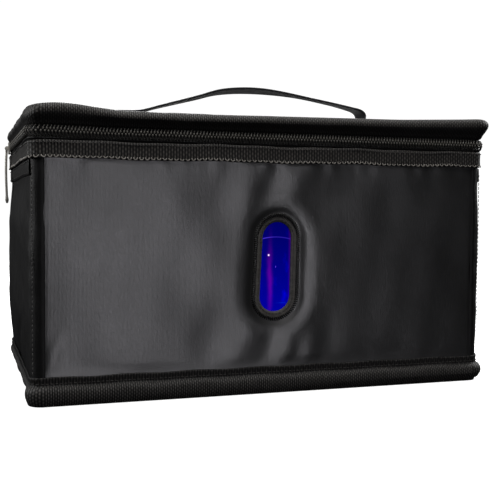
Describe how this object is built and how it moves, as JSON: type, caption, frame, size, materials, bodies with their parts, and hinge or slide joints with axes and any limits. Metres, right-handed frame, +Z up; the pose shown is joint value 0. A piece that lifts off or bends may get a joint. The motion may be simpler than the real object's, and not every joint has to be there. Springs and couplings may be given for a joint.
{
  "type": "soft-sided ultraviolet sterilizer box",
  "caption": "Zipped soft-sided ultraviolet sterilizer box with a hinged lid, a window, lamps inside, a strap handle and a side control unit.",
  "frame": {"origin": "centre of the case's footprint, on the surface it stands on", "axes": "+Z up, +X to the right seen from the front, -Y out of the front wall with the window"},
  "size_m": [0.3479, 0.2112, 0.2243],
  "materials": {
    "cover_fabric": "satin coated nylon",
    "webbing": "matte ribbed tape",
    "strap": "satin woven strap",
    "zip_tape": "matte woven tape",
    "zip_coil": "satin nylon",
    "zip_metal": "plated",
    "foam": "soft foam",
    "board": "stiffening board",
    "liner": "reflective foil laminate",
    "facing": "matte lining tape",
    "rim_tape": "matte grey tape",
    "pane": "tinted clear plastic",
    "white_plastic": "moulded",
    "lamp_glass": "clear tube",
    "bright_wire": "plated wire",
    "black_plastic": "fine texture",
    "button_plastic": "satin",
    "lens_plastic": "clear tinted",
    "screw_steel": "plated",
    "magnet_metal": "plated",
    "circuit": "solder mask",
    "switch_glass": "clear tube",
    "wire_sleeve": "insulation"
  },
  "bodies": {
    "case": {"bottom_cover": "cover_fabric", "front_cover": "cover_fabric", "back_cover": "cover_fabric", "left_cover": "cover_fabric", "right_cover": "cover_fabric", "front_foam": "foam", "bottom_board": "board", "front_board": "board", "back_board": "board", "left_board": "board", "right_board": "board", "bottom_liner": "liner", "front_liner": "liner", "back_liner": "liner", "left_liner": "liner", "right_liner": "liner", "bottom_binding": "webbing", "rim_band": "webbing", "rim_facing": "facing", "left_side_tape": "webbing", "right_side_tape": "webbing", "window_ring": "rim_tape", "window_pane": "pane", "case_zip_tape": "zip_tape", "case_zip_coil": "zip_coil", "zip_stops": "zip_metal", "hinge_tape_case": "zip_tape", "left_lamp_holder": "white_plastic", "left_lamp_tube": "lamp_glass", "left_lamp_guard": "bright_wire", "right_lamp_holder": "white_plastic", "right_lamp_tube": "lamp_glass", "right_lamp_guard": "bright_wire", "control_bezel": "black_plastic", "control_housing": "white_plastic", "control_board": "circuit", "tact_switch": "black_plastic", "power_socket": "black_plastic", "indicator_lens": "lens_plastic", "bezel_screws": "screw_steel", "reed_switch": "switch_glass", "wire_harness": "wire_sleeve"},
    "lid": {"lid_cover": "cover_fabric", "lid_foam": "foam", "lid_board": "board", "lid_liner": "liner", "lid_wall": "cover_fabric", "lid_binding": "webbing", "lid_magnet": "magnet_metal", "lid_zip_tape": "zip_tape", "lid_zip_coil": "zip_coil", "hinge_tape_lid": "zip_tape", "handle_anchor_left": "strap", "handle_anchor_right": "strap"},
    "handle": {"handle_strap": "strap"},
    "zip_slider": {"zip_slider": "zip_metal"},
    "pull_tab": {"pull_tab": "zip_metal"},
    "power_button": {"power_button": "button_plastic"}
  },
  "joints": [
    {"name": "lid_hinge", "type": "hinge", "parent": "case", "child": "lid", "pos_m": [0, 0.10025, 0.175], "axis": [-1, 0, 0], "range_deg": [0, 110]},
    {"name": "handle_tilt", "type": "hinge", "parent": "lid", "child": "handle", "pos_m": [0, 0, 0.198], "axis": [1, 0, 0], "range_deg": [-40, 40], "stiffness_Nm_per_rad": 0.03},
    {"name": "zip_travel", "type": "slide", "parent": "case", "child": "zip_slider", "axis": [0, -1, 0], "range_m": [0, 0.15]},
    {"name": "pull_tab_swing", "type": "hinge", "parent": "zip_slider", "child": "pull_tab", "pos_m": [-0.1714, 0.07, 0.178], "axis": [0, 1, 0], "range_deg": [0, 150]},
    {"name": "button_press", "type": "slide", "parent": "case", "child": "power_button", "axis": [-1, 0, 0], "range_m": [0, 0.0015], "stiffness_N_per_m": 600}
  ]
}
